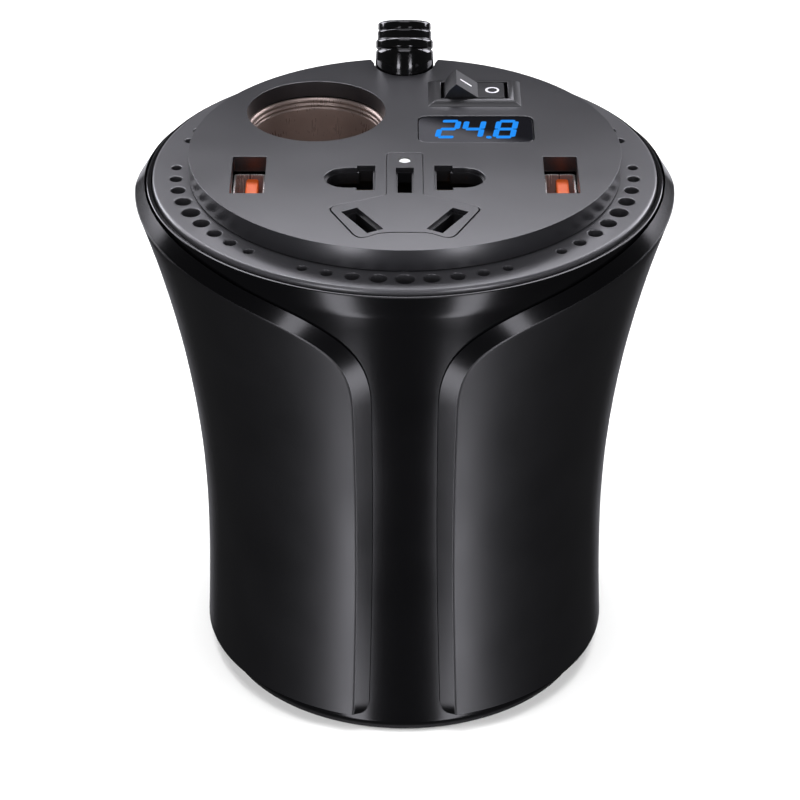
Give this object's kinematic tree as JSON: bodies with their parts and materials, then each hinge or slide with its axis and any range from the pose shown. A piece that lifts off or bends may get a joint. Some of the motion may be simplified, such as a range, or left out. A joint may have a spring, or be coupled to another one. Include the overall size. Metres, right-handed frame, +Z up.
{
  "type": "power inverter",
  "caption": "Cup-shaped vehicle power inverter with mains, lighter and USB sockets, a voltmeter, a rocker switch and a ring of vents on top.",
  "frame": {"origin": "middle of the foot's underside, under the middle of the housing", "axes": "+Z up out of the socket plate, -Y towards the front strip between the side panels, +X to the right seen from the front"},
  "size_m": [0.098, 0.0934, 0.1126],
  "materials": {
    "foot_rubber": "matte, fine grip texture",
    "dark_plastic": "moulded black, fine texture",
    "shell_plastic": "near-black, glossy",
    "panel_plastic": "black, satin gloss",
    "plate_plastic": "charcoal grey, satin",
    "vent_plastic": "mid grey, satin",
    "boot_rubber": "glossy black",
    "switch_plastic": "black, semi-gloss",
    "smoked_glass": "glossy smoked window",
    "lit_white": "white light pipe",
    "usb_orange": "orange moulded tongue",
    "bright_steel": "nickel-plated sheet",
    "bronze_metal": "brown-bronze, satin, with bright beads",
    "contact_brass": "plain brass",
    "screw_steel": "zinc-plated",
    "sink_aluminium": "extruded, plain",
    "board_green": "circuit board",
    "ferrite": "dark sintered core",
    "winding_tape": "yellow tape over copper",
    "capacitor_sleeve": "dark blue sleeve",
    "fuse_red": "red blade fuse",
    "fan_copper": "varnished copper coil"
  },
  "bodies": {
    "housing": {"foot_ring": "foot_rubber", "base_cover": "dark_plastic", "base_screw_1": "screw_steel", "base_screw_2": "screw_steel", "base_screw_3": "screw_steel", "body_shell": "shell_plastic", "side_panel_left": "panel_plastic", "side_panel_right": "panel_plastic", "vent_ring": "vent_plastic", "top_plate": "plate_plastic", "plate_screw_1": "screw_steel", "plate_screw_2": "screw_steel", "plate_screw_3": "screw_steel", "cable_boot": "boot_rubber", "socket_insert": "plate_plastic", "power_led": "lit_white", "mains_carrier": "dark_plastic", "mains_contact_left": "contact_brass", "mains_contact_right": "contact_brass", "mains_contact_earth": "contact_brass", "slant_contact_left": "contact_brass", "slant_contact_right": "contact_brass", "usb_shell_left": "bright_steel", "usb_tongue_left": "usb_orange", "usb_board_left": "board_green", "usb_shell_right": "bright_steel", "usb_tongue_right": "usb_orange", "usb_board_right": "board_green", "meter_window": "smoked_glass", "meter_module": "dark_plastic", "meter_board": "board_green", "switch_housing": "switch_plastic", "switch_terminal_1": "contact_brass", "switch_terminal_2": "contact_brass", "lighter_barrel": "bronze_metal", "lighter_housing": "dark_plastic", "lighter_insulator": "dark_plastic", "lighter_contact": "contact_brass", "main_board": "board_green", "board_screw_1": "screw_steel", "board_screw_2": "screw_steel", "board_screw_3": "screw_steel", "driver_board": "board_green", "transformer_core": "ferrite", "transformer_winding": "winding_tape", "transformer_base": "dark_plastic", "capacitor_1": "capacitor_sleeve", "capacitor_2": "capacitor_sleeve", "capacitor_3": "capacitor_sleeve", "blade_fuse": "fuse_red", "heat_sink_left": "sink_aluminium", "heat_sink_right": "sink_aluminium", "power_transistor_1": "dark_plastic", "power_transistor_2": "dark_plastic", "power_transistor_3": "dark_plastic", "power_transistor_4": "dark_plastic", "fan_frame": "dark_plastic", "fan_stator": "fan_copper"},
    "rocker": {"switch_rocker": "switch_plastic"},
    "fan": {"fan_rotor": "dark_plastic"}
  },
  "joints": [
    {"name": "rocker_tilt", "type": "hinge", "parent": "housing", "child": "rocker", "pos_m": [0.013, 0.02295, 0.10225], "axis": [0, -1, 0], "range_deg": [0, 34]},
    {"name": "fan_spin", "type": "hinge", "parent": "housing", "child": "fan", "pos_m": [0, 0, 0.009], "axis": [0, 0, 1], "continuous": true}
  ]
}
